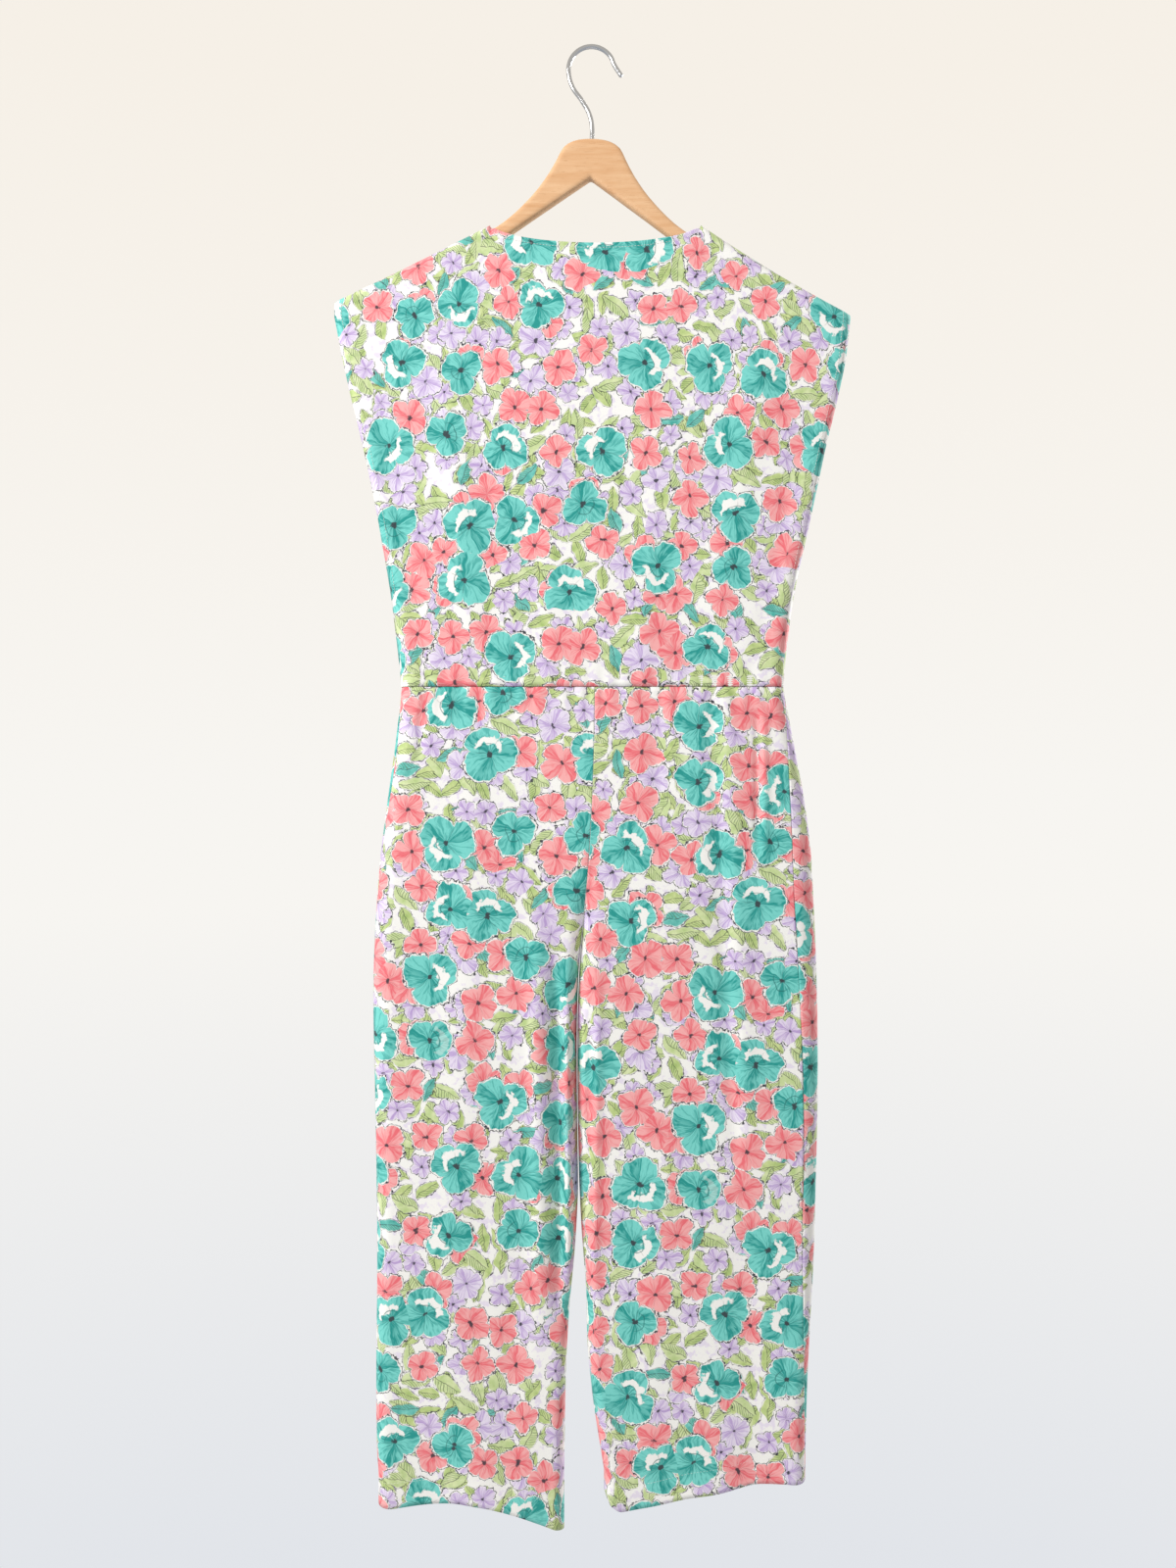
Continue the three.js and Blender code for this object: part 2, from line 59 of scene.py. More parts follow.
# %% Camera
CAMERA_AWAY = 1.2087
FRAME_HIGH = 1.600
camera_data = bpy.data.cameras.new("camera")
camera_data.lens = camera_data.sensor_width * CAMERA_AWAY / FRAME_HIGH
camera = bpy.data.objects.new("camera", camera_data)
camera.location = (-0.004, -CAMERA_AWAY, -0.750)
camera.rotation_euler = (math.pi / 2, 0, 0)
bpy.context.scene.collection.objects.link(camera)
bpy.context.scene.camera = camera
print("lens", round(camera_data.lens, 1), "mm")

# %% [markdown]
# ## Reading the pieces' sizes from the frame
# A shell has to sit where its solid sits, so its outline is measured and not typed in again. Slicing a
# solid at one height gives its reach across and its depth, and a row of slices gives smooth curves.

# %% Slice a node
def triangles_of(node):
    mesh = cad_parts[node].data
    places = np.array([v.co[:] for v in mesh.vertices])
    edges = np.array([e.vertices[:] for e in mesh.edges])
    return places, edges


class Slices:
    """The reach of some nodes on one axis, at any place along another, read from evenly spaced cuts."""

    def __init__(self, nodes, along, reach, low, high, count=60):
        self.at = np.linspace(low, high, count)
        self.low, self.high = [], []
        solids = [triangles_of(n) for n in nodes]
        for place in self.at:
            hits = []
            for places, edges in solids:
                a, b = places[edges[:, 0]], places[edges[:, 1]]
                crossing = (a[:, along] - place) * (b[:, along] - place) <= 0
                a, b = a[crossing], b[crossing]
                span = b[:, along] - a[:, along]
                t = np.where(np.abs(span) > 1e-9, (place - a[:, along]) / np.where(span == 0, 1, span), 0)
                hits += list(a[:, reach] + t * (b[:, reach] - a[:, reach]))
            self.low.append(min(hits) if hits else np.nan)
            self.high.append(max(hits) if hits else np.nan)
        self.low, self.high = self.mended(self.low), self.mended(self.high)

    def mended(self, values):
        """Fills cuts that met nothing, then evens out the solid's facets."""
        values = np.array(values)
        good = ~np.isnan(values)
        values = np.interp(self.at, self.at[good], values[good])
        padded = np.pad(values, 2, mode="reflect", reflect_type="odd")
        return np.convolve(padded, [0.1, 0.2, 0.4, 0.2, 0.1], mode="valid")

    def first(self, place):
        return float(np.interp(place, self.at, self.low))

    def last(self, place):
        return float(np.interp(place, self.at, self.high))


X, Y, Z = 0, 1, 2
back_low, back_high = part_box("bodice_back")
WAIST = back_low[Z]
SHOULDER = back_high[Z]
ARMHOLE_FOOT = WAIST + 90 * MM
bodice_sides = Slices(["bodice_back"], Z, X, WAIST + MM, SHOULDER - 95 * MM)
bodice_depth = Slices(["bodice_back"], Z, Y, WAIST + MM, SHOULDER - 10 * MM)
print("waist", round(WAIST, 3), "shoulder", round(SHOULDER, 3))

# %% [markdown]
# ## Small helpers
# Each shell is a grid of rows and columns, built by one function that takes a rule for the place of
# every grid point. The cut length across and down goes in as a UV map in millimetres, so a print keeps
# its scale and breaks at the seams as on real cloth.

# %% Grids and folds
QUARTER = math.pi / 2
SHELL = 0.6 * MM
BODY = "root"
hang = bpy.context.scene.collection


def ease(t):
    t = min(1.0, max(0.0, t))
    return t * t * (3 - 2 * t)


def mix(a, b, t):
    return a + (b - a) * t


def fold_rise(folds, across, down):
    """How far the folds lift the cloth at a place, in metres. Each fold is a soft ridge (or trough, when
    its rise is below zero) that leans from its top to its foot and fades out at both ends."""
    rise = 0.0
    for fold in folds:
        length = fold["foot"] - fold["top"]
        t = (down - fold["top"]) / length
        if not -0.25 < t < 1.25:
            continue
        centre = mix(fold["across"], fold["foot_across"], t)
        bell = math.exp(-(((across - centre) / fold["width"]) ** 2))
        rise += fold["rise"] * bell * ease((t + 0.25) / 0.4) * ease((1.25 - t) / 0.4)
    return rise * MM


def uneven(across, down, size, seed):
    """A slow ripple between -1 and 1, for cloth that never lies quite flat. Sizes are in millimetres."""
    a, b = across / size, down / size
    return (
        math.sin(a * 2.1 + seed) * math.cos(b * 1.3 + 2 * seed)
        + 0.6 * math.sin(a * 3.7 - b * 1.9 + 3 * seed)
        + 0.4 * math.cos(a * 1.1 + b * 4.3 + 5 * seed)
    ) / 2


def shell(name, rows, columns, place, flip=False, thick=SHELL, print_shift=(0, 0)):
    """A cloth shell over a grid. place(i, j) gives a point; flip turns its outer face round."""
    grid = np.array([[place(i, j) for i in range(columns + 1)] for j in range(rows + 1)])
    across = np.linalg.norm(np.diff(grid, axis=1), axis=2)
    down = np.linalg.norm(np.diff(grid, axis=0), axis=2)
    middle = columns // 2
    u = np.concatenate([np.zeros((rows + 1, 1)), np.cumsum(across, axis=1)], axis=1)
    u = np.sign(grid[0, -1, 0] - grid[0, 0, 0] + 1e-9) * (u - u[:, middle : middle + 1])
    u += grid[:, middle : middle + 1, 0]
    v = -grid[:, :, 2]
    faces = []
    stride = columns + 1
    for j in range(rows):
        for i in range(columns):
            a = j * stride + i
            corners = (a, a + 1, a + stride + 1, a + stride)
            faces.append(corners[::-1] if flip else corners)
    mesh = bpy.data.meshes.new(name)
    mesh.from_pydata(grid.reshape(-1, 3).tolist(), [], faces)
    layer = mesh.uv_layers.new(name="cut")
    loops = np.empty(len(mesh.loops), dtype=np.int32)
    mesh.loops.foreach_get("vertex_index", loops)
    uv = np.stack([u.reshape(-1) + print_shift[0] * MM, -v.reshape(-1) + print_shift[1] * MM], axis=1)
    layer.data.foreach_set("uv", uv[loops].reshape(-1).astype(np.float32))
    mesh.shade_smooth()
    piece = bpy.data.objects.new(name, mesh)
    hang.objects.link(piece)
    solid = piece.modifiers.new("thickness", "SOLIDIFY")
    solid.thickness = thick
    solid.offset = -1
    area = float((across[:-1] * down[:, :-1]).sum())
    size = (float(across.sum(axis=1).max()), float(down.sum(axis=0).max()))
    print(f"{name}: {len(faces)} faces, {size[0]:.3f} x {size[1]:.3f} m, {area:.3f} m2")
    return piece, size, area


STITCH, THREAD = 3.2 * MM, 0.22 * MM
STITCH_SHARE = 0.7  # of the pitch that shows above the cloth


def stitched(name, path, outward, piece_node):
    """A row of machine stitches along a path on the cloth, each a short four-sided run of thread."""
    path = np.array(path)
    run = np.concatenate([[0], np.cumsum(np.linalg.norm(np.diff(path, axis=0), axis=1))])
    places = np.arange(0, run[-1], STITCH)
    starts, stops = (
        np.stack([np.interp(places + more, run, path[:, k]) for k in range(3)], axis=1)
        for more in (0, STITCH_SHARE * STITCH)
    )
    lift = np.array([0, outward * 0.1 * MM, 0])
    corners, faces = [], []
    for start, stop in zip(starts, stops):
        along = (stop - start) / max(np.linalg.norm(stop - start), 1e-9)
        aside = np.cross(along, (0, outward, 0))
        first = len(corners)
        for place, wide in ((start, 0.5), ((start + stop) / 2, 1.0), (stop, 0.5)):
            for a in (0, QUARTER, 2 * QUARTER, 3 * QUARTER):
                turn = aside * math.cos(a) + np.array([0, outward, 0]) * math.sin(a)
                corners.append(tuple(place + lift + turn * THREAD * wide))
        for ring in (0, 4):
            for k in range(4):
                low, after = first + ring, (k + 1) % 4
                faces.append((low + k, low + after, low + 4 + after, low + 4 + k))
        faces.append((first + 3, first + 2, first + 1, first))
        faces.append((first + 8, first + 9, first + 10, first + 11))
    mesh = bpy.data.meshes.new(name)
    mesh.from_pydata(corners, [], faces)
    mesh.shade_smooth()
    mesh.materials.append(COTTON_THREAD)
    row = bpy.data.objects.new(name, mesh)
    hang.objects.link(row)
    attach(row, BODY)
    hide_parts(piece_node)
    return row


def finish_cloth(piece, size, area, solid, rests_on=("hanger_wood",), rows=()):
    """Gives a shell its cloth, puts it on the body, and hides the solid that it stands for."""
    piece.data.materials.append(CLOTH)
    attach(piece, BODY)
    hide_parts(solid)


# %% [markdown]
# ## Colours and nodes
# Colours are written as sRGB hex values, as a maker would note them, and one function turns them to
# linear light. One more adds a shader node with its settings and links.

# %% Colours and the node helper
def colour(hex_value):
    parts = [int(hex_value[k : k + 2], 16) / 255 for k in (1, 3, 5)]
    return tuple(c / 12.92 if c <= 0.04045 else ((c + 0.055) / 1.055) ** 2.4 for c in parts) + (1.0,)


tree = None


def node(kind, *inputs, out=0, **settings):
    """Adds a node to the tree in hand and returns one output. Inputs are given in order, or as a dict
    from a socket's name or number to its value. Sockets are linked and values are set."""
    made = tree.nodes.new("ShaderNode" + kind)
    for key, value in settings.items():
        setattr(made, key, value)
    given = inputs[0] if inputs and isinstance(inputs[0], dict) else dict(enumerate(inputs))
    for place, value in given.items():
        if isinstance(value, bpy.types.NodeSocket):
            tree.links.new(value, made.inputs[place])
        elif value is not None:
            made.inputs[place].default_value = value
    return made.outputs[out]


def start_material(name):
    global tree
    material = bpy.data.materials.new(name)
    material.use_nodes = True
    tree = material.node_tree
    return material, tree.nodes["Principled BSDF"]


def laid_over(base, tint, *masks):
    """Lays one colour over another wherever every mask lets it through, as a print's screens do."""
    through = masks[0]
    for mask in masks[1:]:
        through = node("Math", through, mask, operation="MULTIPLY")
    return node("Mix", {0: through, 6: base, 7: tint}, data_type="RGBA", out=2)


print("white in linear light:", [round(c, 3) for c in colour("#FBFAF6")])

# %% [markdown]
# ## Scattered motifs
# The print is a loose floral in washes of teal, coral, lilac and lime under a dark pen line. The motifs
# are a generic design. A cell pattern scatters one motif in each cell, and a place's distance and angle
# from its cell's centre are all that is needed to draw petals or a leaf there.

# %% Cells and edges
WHITE, INK = colour("#FBFAF6"), colour("#36363F")
LEAF_HATCH, POPPY_FOLD = colour("#5F7452"), colour("#1D6E6B")
FULL_TURN = 6.283
LEAF_LOOSE = 0.75


def scatter(spot, cell, loose, seed):
    """Cells of one size: gives the distance and angle from each cell's own centre, and two dice."""
    scaled = node("VectorMath", {"Vector": spot, "Scale": 1 / cell}, operation="SCALE")
    shifted = node("VectorMath", scaled, (seed * 1.37, seed * 2.71, 0), operation="ADD")
    placing = {"Vector": shifted, "Scale": 1.0, "Randomness": loose}
    cells = node("TexVoronoi", placing, voronoi_dimensions="2D").node
    local = node("VectorMath", shifted, cells.outputs["Position"], operation="SUBTRACT")
    local = node("VectorMath", {"Vector": local, "Scale": cell}, operation="SCALE")
    parts = node("SeparateXYZ", local).node
    dice = node("SeparateColor", cells.outputs["Color"]).node
    radius = node("VectorMath", local, operation="LENGTH", out=1)
    angle = node("Math", parts.outputs[1], parts.outputs[0], operation="ARCTAN2")
    angle = node("Math", dice.outputs[0], FULL_TURN, angle, operation="MULTIPLY_ADD")
    return radius, angle, dice.outputs[1], dice.outputs[2]


def under(value, limit, soft):
    """1 where value is below limit, fading out over soft millimetres."""
    gap = node("Math", limit, value, operation="SUBTRACT")
    return node("MapRange", gap, -soft, soft, 0.0, 1.0)


def near(value, limit, soft):
    """1 where value is within limit of zero, for a line."""
    return under(node("Math", value, operation="ABSOLUTE"), limit, soft)


print("one motif to a cell")

# %% [markdown]
# ## Flowers
# A cosine of the angle gives the petals. Each petal is washed darkest along one side, so that it seems
# to tuck under the next, and fine noise along the radius gives the brush's streaks. A white halo parts
# each flower from what lies under it, and the pen line drifts off the edge, as hand-drawn ones do.

# %% Flowers
def poppy_folds(paint, radius, angle, wash, tone, reach):
    """The white slash and the dark inner fold on one side of a poppy."""
    ragged = node("Math", wash, 14.0, radius, operation="MULTIPLY_ADD")
    from_slash = node("Math", ragged, reach * 0.5, operation="SUBTRACT")
    sweep = node("Math", angle, operation="SINE")
    widest = node("Math", sweep, reach * 0.15, operation="MULTIPLY")
    one_side = node("MapRange", sweep, 0.2, 0.4, 0.0, 1.0)
    most = node("MapRange", tone, 0.25, 0.3, 0.0, 1.0)
    paint = laid_over(paint, WHITE, near(from_slash, widest, 0.6), one_side, most)
    from_fold = node("Math", radius, reach * 0.35, operation="SUBTRACT")
    fold_side = node("MapRange", sweep, -0.1, 0.5, 0.0, 0.75)
    return laid_over(paint, POPPY_FOLD, near(from_fold, 0.45, 0.3), fold_side)


def petal_wash(radius, angle, lobe, depth, tone, petals, deep, light):
    """A petal's colour: darker at one side, towards the heart, in the joins and along the streaks."""
    turns = node("Math", angle, petals / (2 * math.pi), operation="MULTIPLY")
    tuck = node("Math", turns, operation="FRACT")
    fanned = node("Math", angle, 4.5, operation="MULTIPLY")
    drawn = node("Math", radius, 0.05, operation="MULTIPLY")
    streak = node("TexNoise", node("CombineXYZ", fanned, drawn, tone), None, 1.6, 2.0, 0.6)
    side_wash = node("MapRange", tuck, 0.0, 0.55, 0.75, 0.0)
    heart_wash = node("MapRange", depth, 0.1, 0.75, 0.45, 0.0)
    brush_wash = node("MapRange", streak, 0.42, 0.62, -0.25, 0.55)
    pool = node("Math", side_wash, heart_wash, operation="ADD")
    pool = node("Math", pool, brush_wash, operation="ADD", use_clamp=True)
    paint = laid_over(light, deep, pool)
    joins = node("MapRange", lobe, 0.0, 0.4, 0.8, 0.0)
    fading = node("MapRange", depth, 0.2, 0.95, 1.0, 0.3)
    return laid_over(paint, deep, joins, fading)


def flowers(base, kind, spot, wash, broken):
    """One layer of round-petalled flowers, with a pen line, veins, stamens and a dark eye."""
    reach, petals = kind["reach"], kind["petals"]
    radius, angle, dice, tone = scatter(spot, kind["cell"], kind["loose"], kind["seed"])
    wave = node("Math", node("Math", angle, petals / 2, operation="MULTIPLY"), operation="COSINE")
    lobe = node("Math", node("Math", wave, operation="ABSOLUTE"), 0.5, operation="POWER")
    grow = node("MapRange", tone, 0.0, 1.0, 0.8, 1.08)
    edge = node("MapRange", lobe, 0.0, 1.0, 0.6 * reach, reach)
    edge = node("Math", edge, grow, operation="MULTIPLY")
    edge = node("Math", wash, reach * 0.22, edge, operation="MULTIPLY_ADD")
    there = node("Math", dice, kind["share"], operation="LESS_THAN")
    depth = node("Math", radius, edge, operation="DIVIDE")
    deep, light = colour(kind["deep"]), colour(kind["light"])
    paint = petal_wash(radius, angle, lobe, depth, tone, petals, deep, light)
    if kind["poppy"]:
        paint = poppy_folds(paint, radius, angle, wash, tone, reach)
    halo_edge = node("Math", edge, reach * 0.05 + 0.9, operation="ADD")
    base = laid_over(base, WHITE, under(radius, halo_edge, 0.5), there)
    base = laid_over(base, paint, under(radius, edge, 0.4), there)

    pen_edge = node("Math", edge, reach * 0.04 + 0.5, operation="ADD")
    ring = node("Math", radius, pen_edge, operation="SUBTRACT")
    drift = node("Math", broken, 3.6, ring, operation="MULTIPLY_ADD")
    pen = node("MapRange", wash, -0.2, 0.0, 0.45, 1.0)
    base = laid_over(base, INK, near(drift, 0.48, 0.25), there, pen)
    base = laid_over(base, INK, under(lobe, 0.16, 0.06), under(depth, 0.8, 0.1), there, 0.5)
    spokes = node("Math", node("Math", angle, 6.0, operation="MULTIPLY"), operation="SINE")
    spokes = node("Math", node("Math", spokes, operation="ABSOLUTE"), radius, operation="MULTIPLY")
    stamens = under(spokes, 0.55, 0.3)
    base = laid_over(base, INK, stamens, under(radius, reach * 0.33, 0.6), there, 0.6)
    eye_edge = node("Math", broken, 4.0, reach * 0.11, operation="MULTIPLY_ADD")
    return laid_over(base, INK, under(radius, eye_edge, 0.5), there, 0.92)


print("flowers are drawn from a distance and an angle")

# %% [markdown]
# ## Leaves
# A leaf is a lens shape along one axis of its cell, with a midrib and pen hatching on one side.

# %% Leaves
def leaves(base, kind, spot, wash, broken):
    """One layer of pointed leaves with a midrib and hatched shade on one side."""
    radius, angle, dice, _ = scatter(spot, kind["cell"], LEAF_LOOSE, kind["seed"])
    along = node("Math", radius, node("Math", angle, operation="COSINE"), operation="MULTIPLY")
    aside = node("Math", radius, node("Math", angle, operation="SINE"), operation="MULTIPLY")
    taper = node("Math", along, kind["half_long"], operation="DIVIDE")
    bulge = node("Math", 1.0, node("Math", taper, 2.0, operation="POWER"), operation="SUBTRACT")
    edge = node("Math", bulge, kind["half_wide"], operation="MULTIPLY")
    edge = node("Math", wash, 2.5, edge, operation="MULTIPLY_ADD")
    width = node("Math", aside, operation="ABSOLUTE")
    there = node("Math", dice, kind["share"], operation="LESS_THAN")
    fill = node("Math", under(width, edge, 0.5), there, operation="MULTIPLY")
    shade = node("MapRange", wash, -0.25, 0.25, 0.1, 0.9)
    base = laid_over(base, laid_over(colour(kind["light"]), colour(kind["deep"]), shade), fill)

    slant = node("Math", node("Math", along, aside, operation="ADD"), 2.1, operation="MULTIPLY")
    stripe = node("MapRange", node("Math", slant, operation="SINE"), 0.45, 0.8, 0.0, 0.7)
    base = laid_over(base, LEAF_HATCH, fill, stripe, node("MapRange", aside, 0.0, 1.0, 0.0, 1.0))
    wandering = node("Math", aside, broken, operation="ADD")
    base = laid_over(base, INK, near(wandering, 0.32, 0.2), fill, 0.8)
    outer = node("Math", width, node("Math", edge, 0.8, operation="ADD"), operation="SUBTRACT")
    outer = node("Math", broken, 2.5, outer, operation="MULTIPLY_ADD")
    pen = node("MapRange", wash, -0.15, 0.05, 0.2, 0.95)
    within = under(radius, kind["half_long"], 0.5)
    return laid_over(base, INK, near(outer, 0.4, 0.25), there, within, pen)


print("leaves are drawn along and across their own axis")

# %% [markdown]
# ## The cloth
# It is taken as a light plain-woven rayon, printed on white: matt, a little sheen, and no gloss. Sizes
# are in millimetres on the cut piece, and share is how many of the cells hold a motif. Each row is
# printed over the last, smallest motifs first.

# %% Printed rayon
LEAVES = [
    {"cell": 25, "seed": 3, "half_long": 14.5, "half_wide": 6, "share": 0.9},
    {"cell": 30, "seed": 9, "half_long": 17, "half_wide": 7, "share": 0.85},
    {"cell": 47, "seed": 14, "half_long": 15, "half_wide": 6, "share": 0.5},
]
FLOWERS = [
    {"cell": 33, "loose": 0.75, "seed": 5, "reach": 13, "petals": 5, "share": 0.6, "poppy": False},
    {"cell": 47, "loose": 0.7, "seed": 31, "reach": 17.5, "petals": 4, "share": 0.3, "poppy": False},
    {"cell": 48, "loose": 0.7, "seed": 12, "reach": 19.5, "petals": 4, "share": 0.76, "poppy": False},
    {"cell": 68, "loose": 0.6, "seed": 21, "reach": 27, "petals": 3, "share": 0.74, "poppy": True},
]
LEAF_WASHES = [("#A3BF6E", "#DCE8A6"), ("#B4CD83", "#E6EFBE"), ("#2FA096", "#8ADBCF")]
FLOWER_WASHES = [
    ("#BFA4D8", "#E9DDF3"), ("#C4ACDC", "#EDE3F6"), ("#F2717A", "#FDB3B3"), ("#1F9A93", "#7CD9D0"),
]
PALE_LILAC = colour("#E9DFF3")


def noise_about_zero(place, scale, detail, rough):
    noise = node("TexNoise", place, None, scale, detail, rough, noise_dimensions="2D")
    return node("Math", noise, 0.5, operation="SUBTRACT")


def printed_rayon():
    material, surface = start_material("printed_rayon")
    cut = node("UVMap", uv_map="cut")
    millimetres = node("VectorMath", {"Vector": cut, "Scale": 1 / MM}, operation="SCALE")
    stir = node("TexNoise", millimetres, None, 0.045, 2.0, 0.5, noise_dimensions="2D", out=1)
    stir = node("VectorMath", stir, (0.5, 0.5, 0.5), operation="SUBTRACT")
    stir = node("VectorMath", {"Vector": stir, "Scale": 9.0}, operation="SCALE")
    spot = node("VectorMath", millimetres, stir, operation="ADD")
    wash = noise_about_zero(millimetres, 0.11, 3.0, 0.55)
    broken = noise_about_zero(millimetres, 0.32, 1.0, 0.5)
    base = laid_over(WHITE, PALE_LILAC, node("MapRange", wash, 0.02, 0.12, 0.0, 0.8))
    for layer, kinds, washes in ((leaves, LEAVES, LEAF_WASHES), (flowers, FLOWERS, FLOWER_WASHES)):
        for kind, (deep, light) in zip(kinds, washes):
            base = layer(base, {**kind, "deep": deep, "light": light}, spot, wash, broken)
    tree.links.new(base, surface.inputs["Base Color"])
    surface.inputs["Roughness"].default_value = 0.82
    surface.inputs["IOR"].default_value = 1.46
    surface.inputs["Sheen Weight"].default_value = 0.12
    surface.inputs["Sheen Roughness"].default_value = 0.5
    # The weave is drawn 0.9 mm from thread to thread, coarser than the real one, so that it shows.
    warp = node("TexWave", millimetres, 0.35, 0.0, bands_direction="X", wave_profile="SIN", out=1)
    weft = node("TexWave", millimetres, 0.35, 0.0, bands_direction="Y", wave_profile="SIN", out=1)
    thread = node("Math", warp, weft, operation="MULTIPLY")
    raised = node("Bump", {"Strength": 0.08, "Distance": 0.2 * MM, "Height": thread})
    tree.links.new(raised, surface.inputs["Normal"])
    return material


CLOTH = printed_rayon()
print("print nodes:", len(CLOTH.node_tree.nodes))

# %% [markdown]
# ## Thread
# Off-white cotton, spun and matt. The rows of stitches are small runs of it on the cloth.

# %% Cotton thread
COTTON_THREAD, thread_surface = start_material("cotton_thread")
thread_surface.inputs["Base Color"].default_value = colour("#F4F2EC")
thread_surface.inputs["Roughness"].default_value = 0.7
print("thread", COTTON_THREAD.name)

# %% [markdown]
# ## The bodice
# Back and front are cut in one with the cap shoulders. The back has a shallow neck. Columns run from the
# waist to the top line, closest where the cloth turns over the hanger's arms and into the sides.

# %% Bodice shells
NECK_LEFT, NECK_RIGHT = -105 * MM, 111 * MM
TIP = 264 * MM
BACK_NECK_DROP, FRONT_NECK_DROP = 21 * MM, 92 * MM
LEFT_SHOULDER_DOWN, RIGHT_SHOULDER_DOWN = 78 * MM, 91 * MM
ARCH = 10 * MM
ARMHOLE_LEAN = 0.35


def top_line(across, drop):
    if across < NECK_LEFT:
        t = (NECK_LEFT - across) / (NECK_LEFT + TIP)
        return SHOULDER - LEFT_SHOULDER_DOWN * t - 0.9 * MM * math.sin(math.pi * t)
    if across > NECK_RIGHT:
        t = (across - NECK_RIGHT) / (TIP - NECK_RIGHT)
        return SHOULDER - RIGHT_SHOULDER_DOWN * t - 3 * MM * math.sin(math.pi * t)
    half = (NECK_RIGHT - NECK_LEFT) / 2
    t = (across - NECK_LEFT - half) / half
    return SHOULDER - drop * math.sqrt(max(0.0, 1 - t * t))


def neck_spread(count):
    """Column places along the top: even over the shoulders, closing up at the neck's corners."""
    middle, half = (NECK_LEFT + NECK_RIGHT) / 2, (NECK_RIGHT - NECK_LEFT) / 2
    shoulder = max(8, count // 4)
    left = np.linspace(-TIP, NECK_LEFT, shoulder + 1)[:-1]
    right = np.linspace(NECK_RIGHT, TIP, shoulder + 1)[1:]
    turns = np.linspace(0, math.pi, count - 2 * shoulder + 1)
    neck = middle - half * np.cos(turns)
    return np.concatenate([left, neck, right])


BODICE_FOLDS = [
    {"across": -150, "foot_across": -120, "top": 330, "foot": 600, "width": 16, "rise": 1.4},
    {"across": 175, "foot_across": 130, "top": 310, "foot": 560, "width": 18, "rise": 1.6},
    {"across": 60, "foot_across": 48, "top": 470, "foot": 640, "width": 12, "rise": 1.0},
    {"across": -48, "foot_across": -40, "top": 440, "foot": 640, "width": 14, "rise": 1.0},
    {"across": 205, "foot_across": 168, "top": 420, "foot": 620, "width": 10, "rise": -1.2},
    {"across": -212, "foot_across": -172, "top": 400, "foot": 620, "width": 10, "rise": -1.2},
]


def bodice_place(top_across, share, side, drop, seed):
    """A point of the bodice: share runs from 0 at the waist to 1 at the top line."""
    top = top_line(top_across, drop)
    height = mix(WAIST + 0.15 * MM, top, 1 - (1 - share) ** 1.25)
    below = top - height
    left, right = bodice_sides.first(height), bodice_sides.last(height)
    depth = abs(bodice_depth.first(height)) if height < SHOULDER - 30 * MM else ARCH
    part = (top_across + TIP) / (2 * TIP)
    across = mix(left, right, part)
    from_edge = min(across - left, right - across)
    closed = mix(ARMHOLE_LEAN, 1, ease((ARMHOLE_FOOT + 70 * MM - height) / (70 * MM)))
    turn = min(1.0, from_edge / depth)
    side_round = math.sqrt(max(0.0, 1 - (1 - turn) ** 2))
    edge_lift = mix(1, side_round, closed)
    reach = min(1.0, below / ARCH)
    arch = math.sqrt(max(0.0, 1 - (1 - reach) ** 2))
    half = (NECK_RIGHT - NECK_LEFT) / 2
    from_middle = abs(top_across - NECK_LEFT - half)
    to_corner = math.hypot(half - from_middle, SHOULDER - top)
    seamed = 1.0 if from_middle >= half else 1 - ease(to_corner / ARCH)
    lift = mix(1, arch, seamed) * edge_lift
    x, d = across / MM, -height / MM
    hang_free = ease(from_edge / (25 * MM)) * ease(below / (30 * MM))
    rise = fold_rise(BODICE_FOLDS, x, d) + 0.9 * MM * uneven(x, d, 70, seed)
    pucker = 0.8 * MM * math.sin(x / 2.6 + 1.5 * math.sin(x / 17)) * math.exp(-(height - WAIST) / (16 * MM))
    casing = -0.5 * MM * math.exp(-(((height - WAIST - 12 * MM) / (1.6 * MM)) ** 2))
    out = depth * lift + (rise * hang_free + pucker + casing * ease(from_edge / (6 * MM)))
    return (across, side * (out + 0.15 * MM), height)


BACK_COLUMNS = neck_spread(128)
BODICE_ROWS = 110
CASING, NECK_HEM, ARMHOLE_HEM = 12 * MM, 5 * MM, 8 * MM
ROW_END = TIP - 6 * MM


def back_place(i, j):
    return bodice_place(BACK_COLUMNS[i], j / BODICE_ROWS, -1, BACK_NECK_DROP, 1.0)


def share_above_waist(across, drop, above):
    """The share of the way up a bodice column that lies a given distance above the waist."""
    return 1 - (1 - above / (top_line(across, drop) - WAIST)) ** 0.8


def share_under_neck(across, drop, below):
    """The share of the way up a bodice column that lies a given distance under the neck."""
    return 1 - (below / (top_line(across, drop) - WAIST)) ** 0.8


def bodice_rows(name, piece_node, side, drop, seed, left_end, right_end):
    """The casing's stitches over the waist, the neck's topstitching, and both armhole hems."""

    def row(places):
        return [bodice_place(across, share, side, drop, seed) for across, share in places]

    casing = np.linspace(left_end, right_end, 160)
    rows = [row((x, share_above_waist(x, drop, CASING)) for x in casing)]
    neck = np.linspace(NECK_LEFT + 2 * MM, NECK_RIGHT - 2 * MM, 120)
    rows.append(row((x, share_under_neck(x, drop, NECK_HEM)) for x in neck if left_end <= x <= right_end))
    for edge in (-TIP + ARMHOLE_HEM, TIP - ARMHOLE_HEM):
        if left_end <= edge <= right_end:
            rows.append(row((edge, share) for share in np.linspace(0.17, 0.99, 120)))
    return [stitched(f"{name}_{k}", row, side, piece_node) for k, row in enumerate(rows)]


